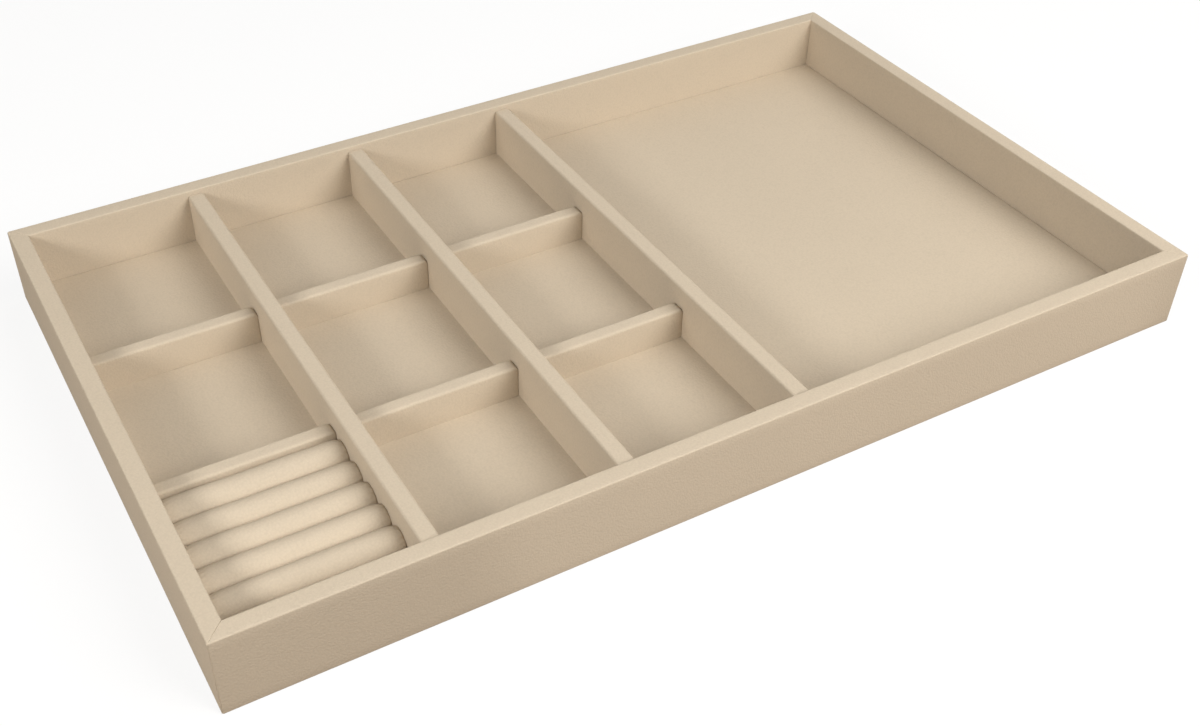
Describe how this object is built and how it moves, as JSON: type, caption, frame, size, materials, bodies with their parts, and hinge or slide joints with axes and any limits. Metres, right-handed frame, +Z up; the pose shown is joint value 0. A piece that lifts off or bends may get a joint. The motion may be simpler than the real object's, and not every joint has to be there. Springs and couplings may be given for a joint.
{
  "type": "jewelry tray",
  "caption": "Shallow rectangular leatherette tray for jewelry: mitred walls, long and lower cross dividers, a large cell at one side and a lift-out block of padded ring rolls.",
  "frame": {"origin": "middle of the underside, on the surface that the tray rests on", "axes": "+X along the front from left to right (the large cell is at the right), +Y from the front to the back, +Z up"},
  "size_m": [0.53, 0.321, 0.0435],
  "materials": {
    "leatherette": "fine pebble grain, satin",
    "board": "raw fibreboard, matte",
    "card": "raw grey card, matte",
    "felt": "short pressed felt, matte",
    "foam": "open-cell foam, matte"
  },
  "bodies": {
    "tray": {"underside_sheet": "felt", "base_board": "board", "front_wall_board": "board", "front_wall_cover": "leatherette", "right_wall_board": "board", "right_wall_cover": "leatherette", "back_wall_board": "board", "back_wall_cover": "leatherette", "left_wall_board": "board", "left_wall_cover": "leatherette", "floor_card": "card", "floor_liner": "leatherette", "left_long_divider_board": "board", "left_long_divider_cover": "leatherette", "middle_long_divider_board": "board", "middle_long_divider_cover": "leatherette", "right_long_divider_board": "board", "right_long_divider_cover": "leatherette", "front_cross_divider_board_1": "board", "front_cross_divider_cover_1": "leatherette", "front_cross_divider_board_2": "board", "front_cross_divider_cover_2": "leatherette", "front_cross_divider_board_3": "board", "front_cross_divider_cover_3": "leatherette", "rear_cross_divider_board_1": "board", "rear_cross_divider_cover_1": "leatherette", "rear_cross_divider_board_2": "board", "rear_cross_divider_cover_2": "leatherette", "rear_cross_divider_board_3": "board", "rear_cross_divider_cover_3": "leatherette"},
    "ring_block": {"ring_block_board": "board", "ring_roll_foam_1": "foam", "ring_roll_cover_1": "leatherette", "ring_roll_foam_2": "foam", "ring_roll_cover_2": "leatherette", "ring_roll_foam_3": "foam", "ring_roll_cover_3": "leatherette", "ring_roll_foam_4": "foam", "ring_roll_cover_4": "leatherette", "ring_roll_foam_5": "foam", "ring_roll_cover_5": "leatherette", "ring_roll_foam_6": "foam", "ring_roll_cover_6": "leatherette"}
  },
  "joints": [
    {"name": "ring_block_lift", "type": "slide", "parent": "tray", "child": "ring_block", "axis": [0, 0, 1], "range_m": [0, 0.05]}
  ]
}
